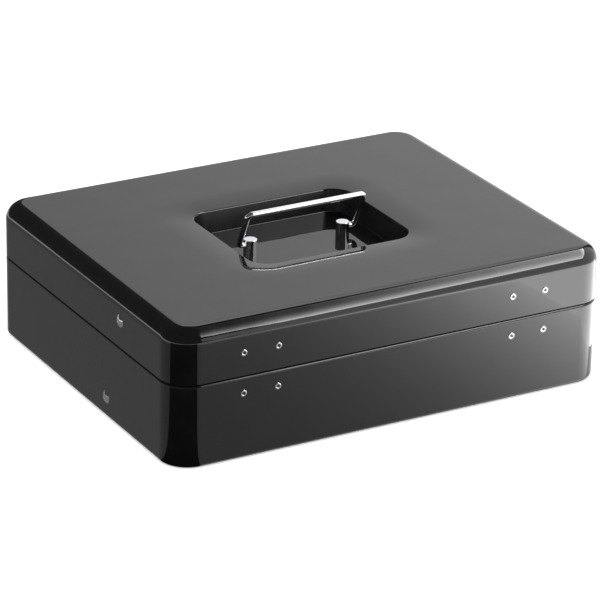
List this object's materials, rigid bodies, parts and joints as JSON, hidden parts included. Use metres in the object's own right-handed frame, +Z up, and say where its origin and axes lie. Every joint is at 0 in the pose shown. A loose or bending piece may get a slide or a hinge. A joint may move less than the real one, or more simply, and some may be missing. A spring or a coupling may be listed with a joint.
{
  "type": "cash box",
  "caption": "Flat steel cash box: hinged lid with a folding wire handle in a sunk pocket, key lock in front, and a coin tray inside that swings up with the lid.",
  "frame": {"origin": "middle of the flat face that the box rests on", "axes": "+X along the long side, +Y towards the hinges, +Z up; the lock is on the -Y side"},
  "size_m": [0.303, 0.2452, 0.1048],
  "materials": {
    "case_enamel": "high gloss black stove enamel",
    "tray_enamel": "semi-gloss black enamel",
    "bright_chrome": "polished chrome plate",
    "rivet_steel": "bright nickel-plated steel",
    "zinc_plate": "bright zinc-plated steel",
    "plug_brass": "satin brass"
  },
  "bodies": {
    "base": {"base_pan": "case_enamel", "lock_keeper": "zinc_plate", "hinge_base_rivets": "rivet_steel", "hinge_base_leaf_left": "zinc_plate", "hinge_base_leaf_right": "zinc_plate", "hinge_pin_left": "zinc_plate", "hinge_pin_right": "zinc_plate", "arm_base_rivets": "rivet_steel", "arm_base_spacers": "zinc_plate"},
    "lid": {"lid_shell": "case_enamel", "hinge_lid_leaf_left": "zinc_plate", "hinge_lid_leaf_right": "zinc_plate", "hinge_lid_rivets": "rivet_steel", "link_lid_rivets": "rivet_steel", "link_lid_spacers": "zinc_plate", "handle_post_left": "bright_chrome", "handle_post_right": "bright_chrome", "handle_post_washers": "zinc_plate", "handle_post_screws": "zinc_plate", "lock_housing": "bright_chrome", "lock_clip": "zinc_plate"},
    "bail": {"handle_bail": "bright_chrome"},
    "lock": {"lock_plug": "plug_brass", "lock_cam": "zinc_plate", "lock_cam_screw": "zinc_plate"},
    "tray_arms": {"tray_arm_left": "zinc_plate", "tray_arm_right": "zinc_plate"},
    "tray": {"tray_pan": "tray_enamel", "tray_long_divider": "tray_enamel", "tray_cross_dividers": "tray_enamel", "arm_tray_rivets": "rivet_steel", "link_tray_rivets": "rivet_steel"},
    "lid_links": {"lid_link_left": "zinc_plate", "lid_link_right": "zinc_plate"}
  },
  "joints": [
    {"name": "lid_hinge", "type": "hinge", "parent": "base", "child": "lid", "pos_m": [0, 0.118, 0.0485], "axis": [-1, 0, 0], "range_deg": [0, 95]},
    {"name": "arm_pivot", "type": "hinge", "parent": "base", "child": "tray_arms", "pos_m": [0, 0.0337, 0.0138], "axis": [-1, 0, 0], "range_deg": [0, 95]},
    {"name": "tray_pivot", "type": "hinge", "parent": "tray_arms", "child": "tray", "pos_m": [0, -0.031, 0.0265], "axis": [-1, 0, 0], "range_deg": [-95, 0]},
    {"name": "link_pivot", "type": "hinge", "parent": "lid", "child": "lid_links", "pos_m": [0, 0.0524, 0.0706], "axis": [-1, 0, 0], "range_deg": [-63.4, 0]},
    {"name": "handle_pivot", "type": "hinge", "parent": "lid", "child": "bail", "pos_m": [0, -0.0022, 0.0786], "axis": [-1, 0, 0], "range_deg": [-124, 72]},
    {"name": "key_turn", "type": "hinge", "parent": "lid", "child": "lock", "pos_m": [0, -0.115, 0.0656], "axis": [0, -1, 0], "range_deg": [0, 90]}
  ],
  "couplings": [
    {"joint": "arm_pivot", "follows": "lid_hinge", "ratio": 1},
    {"joint": "tray_pivot", "follows": "lid_hinge", "ratio": -1},
    {"joint": "link_pivot", "follows": "lid_hinge", "ratio": -0.66667}
  ]
}
